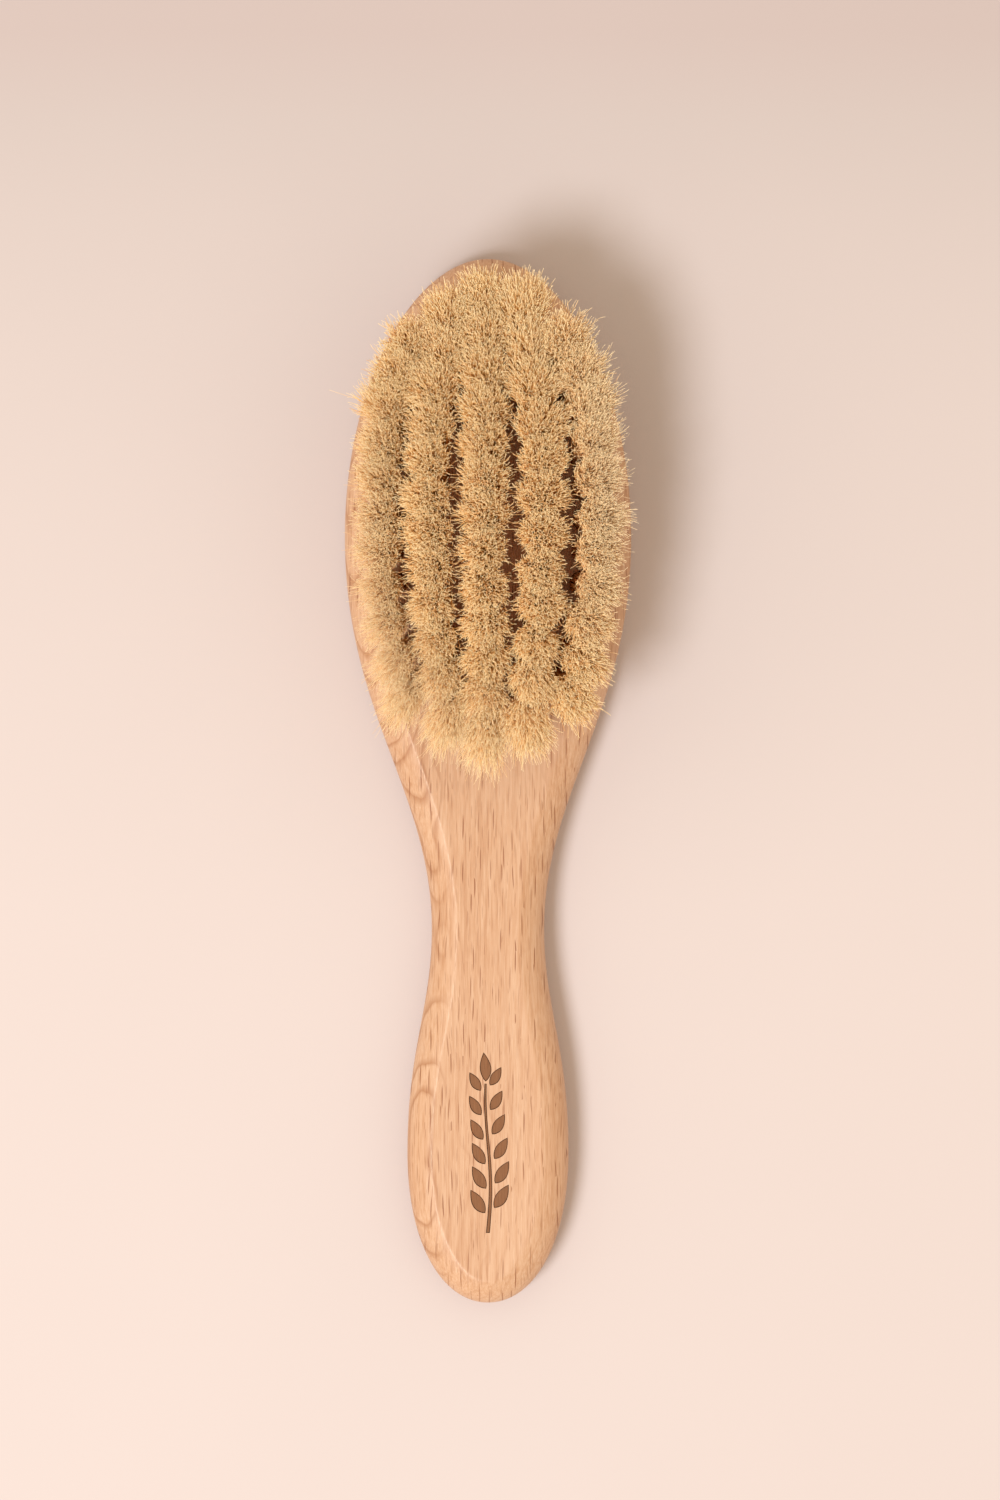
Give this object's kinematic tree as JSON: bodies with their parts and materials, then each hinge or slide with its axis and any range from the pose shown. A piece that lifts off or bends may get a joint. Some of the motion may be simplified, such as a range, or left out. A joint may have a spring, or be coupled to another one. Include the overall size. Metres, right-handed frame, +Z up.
{
  "type": "clothes brush",
  "caption": "Wooden paddle clothes brush: slim handle and oval head in one piece of beech, head filled with rows of soft natural hair tufts.",
  "frame": {"origin": "on the flat back face the brush rests on, under the middle of the whole brush", "axes": "+Z up out of the back face towards the hair tips, +Y along the brush from the handle's end to the head's end, +X across"},
  "size_m": [0.0494, 0.18, 0.03],
  "materials": {
    "wood": "fine-sanded beech, unvarnished, lightly waxed",
    "hair": "soft natural animal hair, straw-coloured, trimmed level",
    "anchor_wire": "flat steel wire, cut"
  },
  "bodies": {
    "root": {"wood_body": "wood", "tuft_row1_01": "hair", "tuft_row1_02": "hair", "tuft_row1_03": "hair", "tuft_row1_04": "hair", "tuft_row1_05": "hair", "tuft_row1_06": "hair", "tuft_row1_07": "hair", "tuft_row1_08": "hair", "tuft_row1_09": "hair", "tuft_row1_10": "hair", "tuft_row1_11": "hair", "tuft_row2_01": "hair", "tuft_row2_02": "hair", "tuft_row2_03": "hair", "tuft_row2_04": "hair", "tuft_row2_05": "hair", "tuft_row2_06": "hair", "tuft_row2_07": "hair", "tuft_row2_08": "hair", "tuft_row2_09": "hair", "tuft_row2_10": "hair", "tuft_row2_11": "hair", "tuft_row2_12": "hair", "tuft_row3_01": "hair", "tuft_row3_02": "hair", "tuft_row3_03": "hair", "tuft_row3_04": "hair", "tuft_row3_05": "hair", "tuft_row3_06": "hair", "tuft_row3_07": "hair", "tuft_row3_08": "hair", "tuft_row3_09": "hair", "tuft_row3_10": "hair", "tuft_row3_11": "hair", "tuft_row3_12": "hair", "tuft_row3_13": "hair", "tuft_row4_01": "hair", "tuft_row4_02": "hair", "tuft_row4_03": "hair", "tuft_row4_04": "hair", "tuft_row4_05": "hair", "tuft_row4_06": "hair", "tuft_row4_07": "hair", "tuft_row4_08": "hair", "tuft_row4_09": "hair", "tuft_row4_10": "hair", "tuft_row4_11": "hair", "tuft_row4_12": "hair", "tuft_row5_01": "hair", "tuft_row5_02": "hair", "tuft_row5_03": "hair", "tuft_row5_04": "hair", "tuft_row5_05": "hair", "tuft_row5_06": "hair", "tuft_row5_07": "hair", "tuft_row5_08": "hair", "tuft_row5_09": "hair", "tuft_row5_10": "hair", "tuft_row5_11": "hair"}
  },
  "joints": []
}
